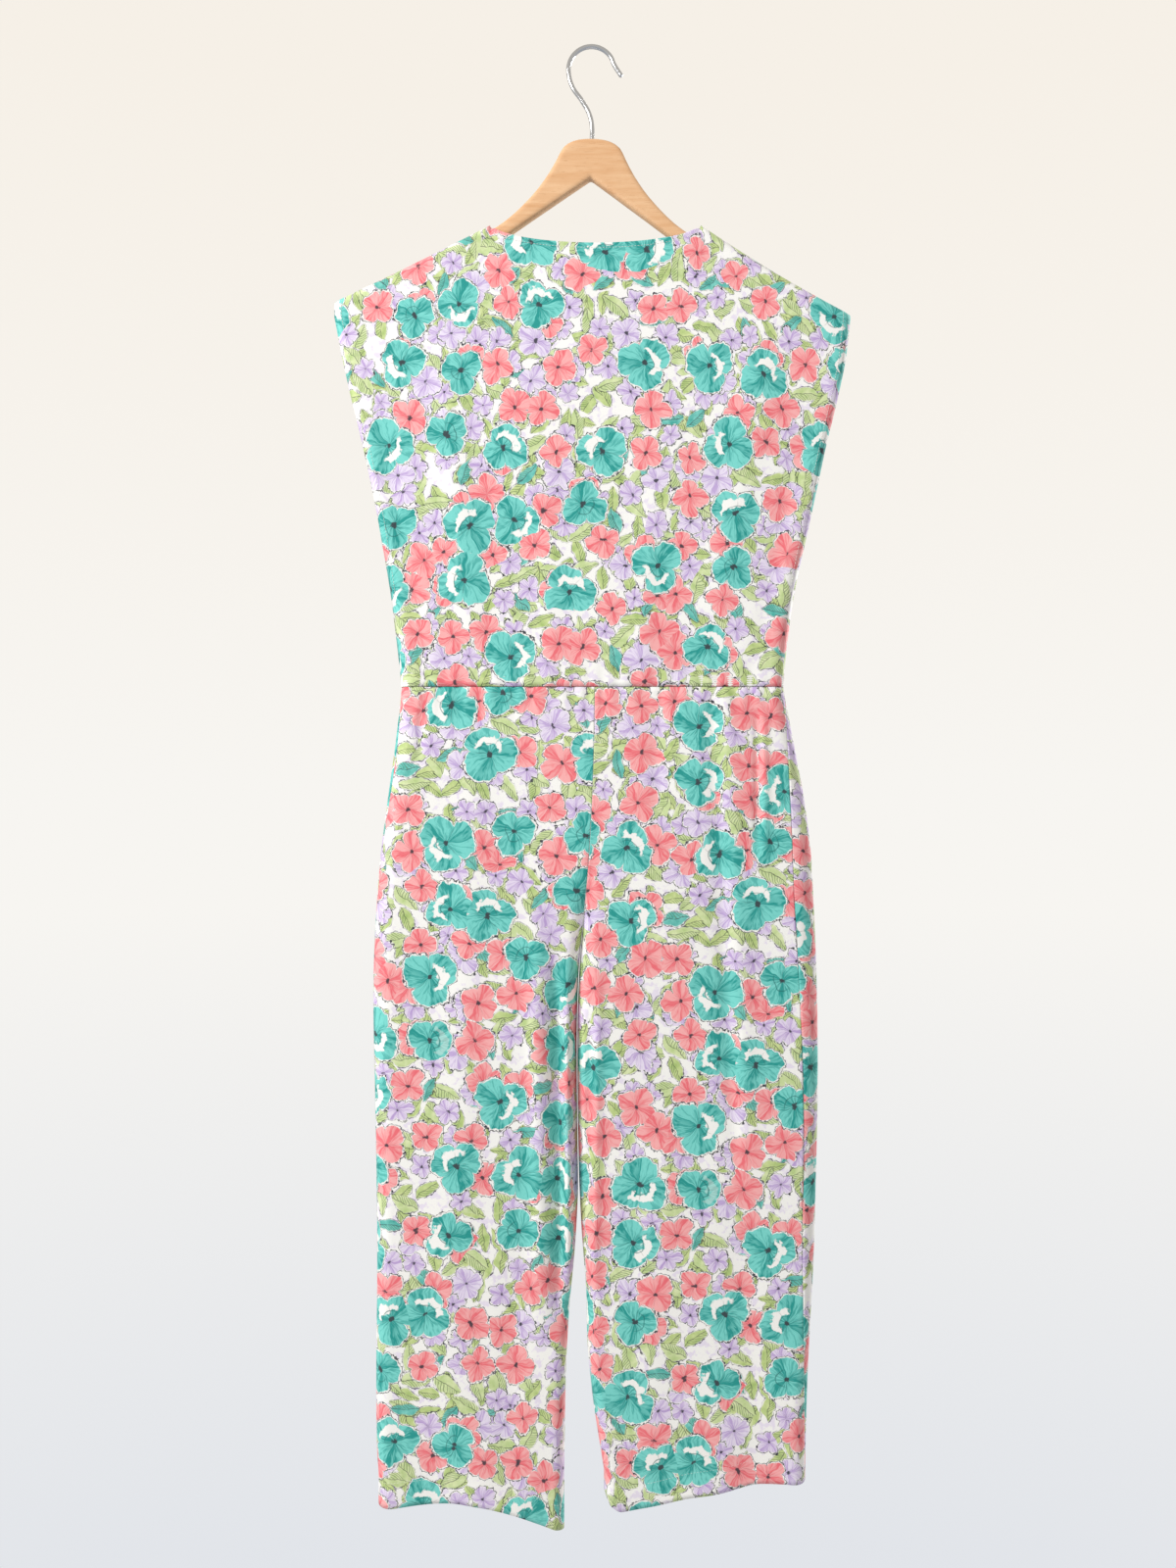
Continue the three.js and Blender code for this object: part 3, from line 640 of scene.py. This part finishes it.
back = shell("back_bodice", BODICE_ROWS, len(BACK_COLUMNS) - 1, back_place, print_shift=(40, 20))
back_rows = bodice_rows("back_stitches", "bodice_back", -1, BACK_NECK_DROP, 1.0, -ROW_END, ROW_END)
finish_cloth(*back, "bodice_back", rows=back_rows)

FRONT_COLUMNS = neck_spread(128)
LAP = 11 * MM


def front_half(name, piece_node, left, shift):
    inside = [x for x in FRONT_COLUMNS if (x < -14 * MM if left else x > 14 * MM)]
    stops = inside + [-10 * MM, -4 * MM, 4 * MM, LAP] if left else [-LAP, -4 * MM, 4 * MM, 14 * MM] + inside

    def place(i, j):
        across, out, height = bodice_place(stops[i], j / BODICE_ROWS, 1, FRONT_NECK_DROP, 2.7)
        if not left:
            out += 1.5 * MM * (1 - ease((across - 14 * MM) / (22 * MM)))
        return (across, out, height)

    made = shell(name, BODICE_ROWS, len(stops) - 1, place, flip=True, print_shift=shift)
    ends = (-ROW_END, -14 * MM) if left else (38 * MM, ROW_END)
    rows = bodice_rows(f"{name}_stitches", piece_node, 1, FRONT_NECK_DROP, 2.7, *ends)
    finish_cloth(*made, piece_node, rows=rows)


front_half("left_front_bodice", "bodice_front_left", True, (310, 170))
front_half("right_front_bodice", "bodice_front_right", False, (-260, 330))

# %% [markdown]
# ## The legs
# Each leg is a flattened tube of two panels. The fronts wrap round the outer folds, so the side seams
# lie a little way in on the back. The centre-back seam runs down into a bunch of folds at the crotch.

# %% Leg shells
CROTCH = -970 * MM
CROTCH_RISE = 150 * MM
HEM, LEG_LONG = 25 * MM, 830 * MM
FOOT = -1.449


def hem_slices(panel):
    """The hem's own height across the leg, cut only where the panel reaches the hem."""
    at_foot = Slices([panel], Z, X, FOOT, FOOT + 4 * MM, 3)
    return Slices([panel], X, Z, at_foot.first(FOOT) + 3 * MM, at_foot.last(FOOT) - 3 * MM, 40)


legs = {}
for side_name in ("left", "right"):
    pair = [f"leg_back_{side_name}", f"leg_front_{side_name}"]
    legs[side_name] = {
        "sides": Slices(pair, Z, X, -1.450, WAIST - MM, 80),
        "depth": Slices(pair, Z, Y, -1.450, WAIST - MM, 80),
        "back": Slices(pair[:1], Z, X, -1.450, WAIST - MM, 80),
        "hem": hem_slices(pair[0]),
    }

LEG_FOLDS = {
    "left": [
        {"across": -56, "foot_across": -52, "top": 920, "foot": 1250, "width": 9, "rise": 3.2},
        {"across": -36, "foot_across": -33, "top": 960, "foot": 1260, "width": 7, "rise": -8.0},
        {"across": -25, "foot_across": -24, "top": 985, "foot": 1200, "width": 3.4, "rise": 4.5},
        {"across": -15, "foot_across": -17, "top": 970, "foot": 1150, "width": 3.0, "rise": -3.5},
        {"across": -172, "foot_across": -174, "top": 676, "foot": 720, "width": 4, "rise": -1.8},
        {"across": -120, "foot_across": -135, "top": 760, "foot": 1180, "width": 20, "rise": 1.6},
        {"across": -150, "foot_across": -128, "top": 1180, "foot": 1460, "width": 22, "rise": 1.5},
        {"across": -75, "foot_across": -88, "top": 1230, "foot": 1480, "width": 14, "rise": -1.6},
    ],
    "right": [
        {"across": 121, "foot_across": 142, "top": 672, "foot": 1090, "width": 9, "rise": -2.6},
        {"across": 134, "foot_across": 156, "top": 680, "foot": 1090, "width": 12, "rise": 1.8},
        {"across": 63, "foot_across": 66, "top": 655, "foot": 770, "width": 8, "rise": -1.4},
        {"across": 167, "foot_across": 167, "top": 690, "foot": 805, "width": 4, "rise": -3.0},
        {"across": 172, "foot_across": 173, "top": 690, "foot": 810, "width": 5, "rise": 2.2},
        {"across": -2, "foot_across": -4, "top": 985, "foot": 1180, "width": 4, "rise": -3.0},
        {"across": 6, "foot_across": 3, "top": 960, "foot": 1240, "width": 5, "rise": 2.0},
        {"across": 70, "foot_across": 58, "top": 1120, "foot": 1470, "width": 20, "rise": 1.6},
        {"across": 150, "foot_across": 162, "top": 1200, "foot": 1450, "width": 18, "rise": -1.5},
    ],
}


def leg_place(side_name, side, start, share, drop_share, seed):
    """A point of a leg: share runs from the side seam (0) to the inner edge (1), drop_share down it."""
    read = legs[side_name]
    left = side_name == "left"
    inward = 1 if left else -1
    outer_of = read["sides"].first if left else read["sides"].last
    inner_of = read["sides"].last if left else read["sides"].first
    hem = read["hem"].first(mix(outer_of(FOOT), inner_of(FOOT), share))
    height = mix(WAIST - 0.3 * MM, hem, drop_share)
    at = max(height, FOOT)
    outer, inner = outer_of(at), inner_of(at)
    depth = max(abs(read["depth"].first(at)), read["depth"].last(at))
    width = abs(inner - outer)
    closed = ease((CROTCH + CROTCH_RISE - height) / CROTCH_RISE)
    begin = start(at)
    gone = mix(begin, width, share)
    near = abs(gone)
    turn = QUARTER * min(1.0, near / depth)
    to_inner = max(0.0, width - near)
    tight = depth * 0.7
    inner_turn = QUARTER * min(1.0, to_inner / tight)
    reach = depth * (1 - math.cos(turn)) if near < depth else near
    if to_inner < tight:
        reach = width - mix(to_inner, tight * (1 - math.cos(inner_turn)), closed)
    lift = math.sin(turn) * mix(1, math.sin(inner_turn), closed)
    face = -side if gone < 0 else side
    across = outer + inward * reach
    x, d = across / MM, -height / MM
    free = ease(near / (18 * MM)) * ease((width - near) / (4 * MM))
    folds = LEG_FOLDS[side_name] if side < 0 else LEG_FOLDS[side_name][::2]
    rise = fold_rise(folds, x, d) * (1 if side < 0 else 0.7) + 1.0 * MM * uneven(x, d, 85, seed)
    gather = 0.85 * MM * math.sin(x / 2.9 + 1.2 * math.sin(x / 13))
    gather *= math.exp(-(WAIST - height) / (20 * MM))
    above_hem = height - hem
    stitch = -0.45 * MM * math.exp(-(((above_hem - HEM) / (1.3 * MM)) ** 2))
    flare = 2.2 * MM * math.sin(x / 19 + seed) * math.exp(-above_hem / (60 * MM))
    out = depth * lift + (rise + gather + stitch + flare) * free
    sew = 0.15 * MM * (-1 if left else 1)
    return (across + sew * closed, face * out + side * 0.15 * MM * (1 if gone > 0 else 0), height)


def seam_place(side_name, facing):
    """How far the side seam lies from the outer fold, round the section, measured on the back panel."""
    read = legs[side_name]
    left = side_name == "left"

    def start(at):
        outer = read["sides"].first(at) if left else read["sides"].last(at)
        seam = read["back"].first(at) if left else read["back"].last(at)
        depth = max(abs(read["depth"].first(at)), read["depth"].last(at))
        inset = abs(seam - outer)
        turned = inset if inset >= depth else depth * math.acos(max(-1, 1 - inset / depth)) / QUARTER
        return turned if facing < 0 else -turned

    return start


def leg_panel(name, piece_node, side_name, side, shift, seed):
    start = seam_place(side_name, side)
    left = side_name == "left"
    columns, rows = 96, 170
    ends = np.linspace(0, 1, columns + 1)
    shares = 0.5 - 0.5 * np.cos(math.pi * ends)
    shares = 0.45 * shares + 0.55 * ends

    def place(i, j):
        return leg_place(side_name, side, start, shares[i], j / rows, seed)

    made = shell(name, rows, columns, place, flip=(left == (side < 0)), print_shift=shift)
    hem_at = 1 - HEM / LEG_LONG
    stitched_at = np.linspace(0.03, 0.96, 120)
    hem_row = [leg_place(side_name, side, start, share, hem_at, seed) for share in stitched_at]
    rows_of_thread = [stitched(f"{name}_hem_stitches", hem_row, side, piece_node)]
    finish_cloth(*made, piece_node, rows=rows_of_thread)


leg_panel("left_back_leg", "leg_back_left", "left", -1, (120, -60), 0.4)
leg_panel("right_back_leg", "leg_back_right", "right", -1, (-150, 90), 1.9)
leg_panel("left_front_leg", "leg_front_left", "left", 1, (420, 240), 3.1)
leg_panel("right_front_leg", "leg_front_right", "right", 1, (-510, -310), 4.6)

# %% [markdown]
# ## Elastic and pocket bags
# Both are hidden: the elastic lies inside the waist casing, and a flat bag of the same print hangs
# inside each hip. They follow the sections that they lie in.

# %% Elastic and pockets
elastic_material, elastic_surface = start_material("woven_elastic")  # ribbed white polyester and rubber
elastic_surface.inputs["Base Color"].default_value = colour("#F4F3EF")
elastic_surface.inputs["Roughness"].default_value = 0.9
elastic_low, elastic_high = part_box("waist_elastic")
ELASTIC_COLUMNS, ELASTIC_ROWS, ELASTIC_RIBS = 720, 24, 6


def elastic_place(i, j):
    """Round the waist: flat along the back and the front, and a half round at each side."""
    radius = elastic_high[Y] - 0.2 * MM
    flat = elastic_high[X] - elastic_low[X] - 0.4 * MM - 2 * radius
    loop = 2 * flat + 2 * math.pi * radius
    gone = (i / ELASTIC_COLUMNS) * loop
    share = j / ELASTIC_ROWS
    rib = 0.18 * MM * (math.cos(share * ELASTIC_RIBS * 2 * math.pi) - 1)
    wide = radius + rib
    left = elastic_low[X] + 0.2 * MM + radius
    height = mix(elastic_high[Z], elastic_low[Z], share)
    if gone < flat:
        return (left + gone, -wide, height)
    gone -= flat
    if gone < math.pi * radius:
        turn = gone / radius
        return (left + flat + wide * math.sin(turn), -wide * math.cos(turn), height)
    gone -= math.pi * radius
    if gone < flat:
        return (left + flat - gone, wide, height)
    turn = (gone - flat) / radius
    return (left - wide * math.sin(turn), wide * math.cos(turn), height)


elastic_grid = (ELASTIC_ROWS, ELASTIC_COLUMNS, elastic_place)
band, band_size, band_area = shell("elastic_band", *elastic_grid, thick=1.1 * MM)
band.data.materials.append(elastic_material)
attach(band, BODY)
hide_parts("waist_elastic")

BAG_INSIDE = 3.4 * MM


def pocket_bag(name, piece_node, side_name, shift):
    read = legs[side_name]
    left = side_name == "left"
    start = seam_place(side_name, 1)
    low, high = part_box(piece_node)

    def place(i, j):
        fall, across_share = j / 60, i / 48
        at = mix(high[Z], low[Z], fall)
        outer = read["sides"].first(at) if left else read["sides"].last(at)
        depth = max(abs(read["depth"].first(at)), read["depth"].last(at)) - BAG_INSIDE
        reach = (120 + 60 * fall - 112 * fall**4) * MM
        gone = mix(start(at) * 0.6, reach, across_share)
        turn = QUARTER * min(1.0, abs(gone) / depth)
        along = BAG_INSIDE + (depth * (1 - math.cos(turn)) if abs(gone) < depth else abs(gone))
        face = 1 if gone > 0 else -1
        ripple = 0.5 * MM * uneven(gone / MM, at / MM, 40, 2.2) * ease(gone / (30 * MM))
        return (outer + (1 if left else -1) * along, face * depth * math.sin(turn) + ripple, at)

    made = shell(name, 60, 48, place, flip=left is False, thick=1.6 * MM, print_shift=shift)
    finish_cloth(*made, piece_node, rests_on=(f"{side_name}_front_leg",))


pocket_bag("left_pocket_bag", "pocket_bag_left", "left", (60, 610))
pocket_bag("right_pocket_bag", "pocket_bag_right", "right", (-330, 480))

# %% [markdown]
# ## Buttons
# Six small pearly buttons close the front. Each is a turned disc with a raised rim and four drilled
# holes, and a cross of thread holds it.

# %% Buttons
pearl, pearl_surface = start_material("pearl_button")  # polyester with a pearl sheen
pearl_surface.inputs["Base Color"].default_value = colour("#F2EFE6")
pearl_surface.inputs["Roughness"].default_value = 0.3
pearl_surface.inputs["Coat Weight"].default_value = 0.4
pearl_surface.inputs["Coat Roughness"].default_value = 0.12
THREAD_HOLE, HOLE_RING = 0.75, 1.5


def turned(profile, steps=64):
    """A turned mesh about Y from a profile of (radius, forward) places in millimetres."""
    made = bmesh.new()
    rings = []
    for radius, forward in profile:
        ring = [
            made.verts.new((radius * MM * math.cos(a), forward * MM, radius * MM * math.sin(a)))
            for a in (2 * math.pi * k / steps for k in range(steps))
        ]
        rings.append(ring)
    for one, two in zip(rings, rings[1:]):
        for k in range(steps):
            made.faces.new((one[k], one[(k + 1) % steps], two[(k + 1) % steps], two[k]))
    made.faces.new(rings[0][::-1])
    made.faces.new(rings[-1])
    bmesh.ops.recalc_face_normals(made, faces=made.faces)
    mesh = bpy.data.meshes.new("turned")
    made.to_mesh(mesh)
    made.free()
    return mesh


def button_mesh():
    front_line = [(0.01, 1.5), (3.3, 1.5), (3.8, 1.65), (4.15, 2.05), (4.7, 2.2), (5.2, 2.0), (5.5, 1.4)]
    back_line = [(5.4, 0.7), (4.6, 0.15), (3.5, 0.0), (0.01, 0.0)]
    disc = bpy.data.objects.new("disc", turned(front_line + back_line))
    hang.objects.link(disc)
    drills = []
    for k in range(4):
        drill = bpy.data.objects.new("drill", turned([(THREAD_HOLE, -1), (THREAD_HOLE, 4)], 20))
        angle = math.pi / 4 + k * QUARTER
        drill.location = (HOLE_RING * MM * math.cos(angle), 0, HOLE_RING * MM * math.sin(angle))
        hang.objects.link(drill)
        cut = disc.modifiers.new("hole", "BOOLEAN")
        cut.object = drill
        cut.solver = "EXACT"
        drills.append(drill)
    for sign in (-1, 1):
        strand = turned([(0.3, -2.1), (0.34, -1.9), (0.34, 1.9), (0.3, 2.1)], 12)
        thread = bpy.data.objects.new("thread", strand)
        thread.rotation_euler = (0, 0, QUARTER)
        thread.rotation_euler.rotate_axis("X", sign * math.pi / 4)
        thread.location = (0, 1.75 * MM, 0)
        hang.objects.link(thread)
        join = disc.modifiers.new("thread", "BOOLEAN")
        join.object = thread
        join.operation = "UNION"
        join.solver = "EXACT"
        drills.append(thread)
    bpy.context.view_layer.update()
    mesh = bpy.data.meshes.new_from_object(disc.evaluated_get(bpy.context.evaluated_depsgraph_get()))
    for spare in drills + [disc]:
        bpy.data.objects.remove(spare)
    mesh.materials.append(pearl)
    mesh.shade_smooth()
    return mesh


button_shape = button_mesh()
for k in range(1, 7):
    low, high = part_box(f"front_button_{k}")
    button = bpy.data.objects.new(f"button_{k}", button_shape.copy())
    button.location = ((low[X] + high[X]) / 2, low[Y], (low[Z] + high[Z]) / 2)
    hang.objects.link(button)
    edges = button.modifiers.new("soft edges", "BEVEL")
    edges.width = 0.08 * MM
    edges.segments = 2
    edges.limit_method = "ANGLE"
    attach(button, BODY)
    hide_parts(f"front_button_{k}")
print("button faces:", len(button_shape.polygons))

# %% [markdown]
# ## The hanger
# A flat beech hanger, sawn and sanded to a soft edge, under a thin clear lacquer. The grain runs along
# the arms. The hook is bright steel wire, a shank with an S-bend into a round curl.

# %% Hanger
TILT = math.radians(1.1)
HEAD = -93 * MM

beech, beech_surface = start_material("lacquered_beech")
grain_place = node("TexCoord", out=3)
along_grain = node("VectorMath", grain_place, (14.0, 160.0, 150.0), operation="MULTIPLY")
along_flecks = node("VectorMath", grain_place, (90.0, 700.0, 900.0), operation="MULTIPLY")
grain = node("TexNoise", along_grain, None, 1.0, 5.0, 0.6)
flecks = node("TexNoise", along_flecks, None, 1.0, 2.0, 0.5)
wood = laid_over(colour("#EFC295"), colour("#DDA673"), node("MapRange", grain, 0.35, 0.72, 0.0, 1.0))
wood = laid_over(wood, colour("#BF8957"), node("MapRange", flecks, 0.62, 0.74, 0.0, 0.5))
tree.links.new(wood, beech_surface.inputs["Base Color"])
beech_surface.inputs["Roughness"].default_value = 0.45
beech_surface.inputs["Coat Weight"].default_value = 0.25
beech_surface.inputs["Coat Roughness"].default_value = 0.25

wood_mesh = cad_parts["hanger_wood"].data.copy()
wood_mesh.name = "beech_hanger"
wood_mesh.materials.clear()
wood_mesh.materials.append(beech)
hanger = bpy.data.objects.new("beech_hanger", wood_mesh)
hang.objects.link(hanger)
sawn = hanger.modifiers.new("sawn", "REMESH")
sawn.mode = "VOXEL"
sawn.voxel_size = 1.3 * MM
sanded = hanger.modifiers.new("sanded", "SMOOTH")
sanded.factor = 0.5
sanded.iterations = 7
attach(hanger, BODY)
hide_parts("hanger_wood")

steel, steel_surface = start_material("bright_steel")  # plated wire
steel_surface.inputs["Base Color"].default_value = colour("#DCDDDF")
steel_surface.inputs["Metallic"].default_value = 1.0
steel_surface.inputs["Roughness"].default_value = 0.16

WIRE, CURL, CURL_ACROSS, CURL_UP = 2.3, 23.5, -1.8, 71.8
spine = [(0, -25), (0, -12), (0, 0), (0, 12), (-3, 26), (-11, 40), (-21, 54)]
spine += [
    (CURL_ACROSS + CURL * math.cos(a), CURL_UP + CURL * math.sin(a))
    for a in np.radians(np.arange(185, 14, -17))
]
spine += [(28, 67)]
wire_curve = bpy.data.curves.new("hook_wire", "CURVE")
wire_curve.dimensions = "3D"
wire_curve.bevel_depth = WIRE * MM
wire_curve.bevel_resolution = 8
wire_curve.resolution_u = 16
wire_curve.use_fill_caps = True
run = wire_curve.splines.new("BEZIER")
run.bezier_points.add(len(spine) - 1)
for point, (x, z) in zip(run.bezier_points, spine):
    across = x * math.cos(TILT) + z * math.sin(TILT)
    height = -x * math.sin(TILT) + z * math.cos(TILT)
    point.co = (across * MM, 0, height * MM + HEAD)
    point.handle_left_type = point.handle_right_type = "AUTO"
hook = bpy.data.objects.new("hook_wire", wire_curve)
hook.data.materials.append(steel)
hang.objects.link(hook)
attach(hook, BODY)
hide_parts("hanger_hook")

tip_mesh = bpy.data.meshes.new("hook_tip")
ball = bmesh.new()
bmesh.ops.create_uvsphere(ball, u_segments=32, v_segments=18, radius=WIRE * MM * 1.03)
ball.to_mesh(tip_mesh)
ball.free()
tip_mesh.materials.append(steel)
tip_mesh.shade_smooth()
tip = bpy.data.objects.new("hook_tip", tip_mesh)
tip.location = run.bezier_points[-1].co
hang.objects.link(tip)
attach(tip, BODY)
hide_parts("hanger_hook")
print("hanger and hook made")

# %% [markdown]
# ## Floor and light
# A pale floor lies well below the hems. The room is a warm white above and a cooler one below, and one
# broad soft lamp stands high on the left, with another for the front.

# %% Floor and lights
floor_mesh = bpy.data.meshes.new("floor")
disc = bmesh.new()
bmesh.ops.create_circle(disc, cap_ends=True, segments=96, radius=0.9)
disc.to_mesh(floor_mesh)
disc.free()
floor = bpy.data.objects.new("floor", floor_mesh)
floor.location = (0, 0, -2.2)
hang.objects.link(floor)
floor_material, floor_surface = start_material("pale_floor")
floor_surface.inputs["Base Color"].default_value = colour("#C3C6CB")
floor_surface.inputs["Roughness"].default_value = 0.9
floor_mesh.materials.append(floor_material)

world = bpy.data.worlds.new("pale_room")
world.use_nodes = True
tree = world.node_tree
up = node("SeparateXYZ", node("TexCoord"), out=2)
low_half = node("MapRange", up, -0.62, -0.1, 0.0, 1.0)
high_half = node("MapRange", up, 0.0, 0.5, 0.0, 1.0)
room = laid_over(colour("#DDE1E8"), colour("#F7F5F1"), low_half)
room = laid_over(room, colour("#F6F0E7"), high_half)
seen = node("LightPath")
strength = node("MapRange", seen, 0.0, 1.0, 0.60, 1.0)
background = tree.nodes["Background"]
tree.links.new(room, background.inputs["Color"])
tree.links.new(strength, background.inputs["Strength"])
bpy.context.scene.world = world
bpy.context.scene.view_settings.view_transform = "Standard"

for name, place, watts, wide in (
    ("window_left", (-2.3, -1.7, 0.7), 88, 1.1),
    ("fill_front", (2.2, 1.9, 0.5), 80, 1.3),
):
    light = bpy.data.lights.new(name, "AREA")
    light.energy = watts
    light.size = wide
    lamp = bpy.data.objects.new(name, light)
    lamp.location = place
    lamp.rotation_euler = (Vector((0, 0, -0.75)) - Vector(place)).to_track_quat("-Z", "Y").to_euler()
    hang.objects.link(lamp)
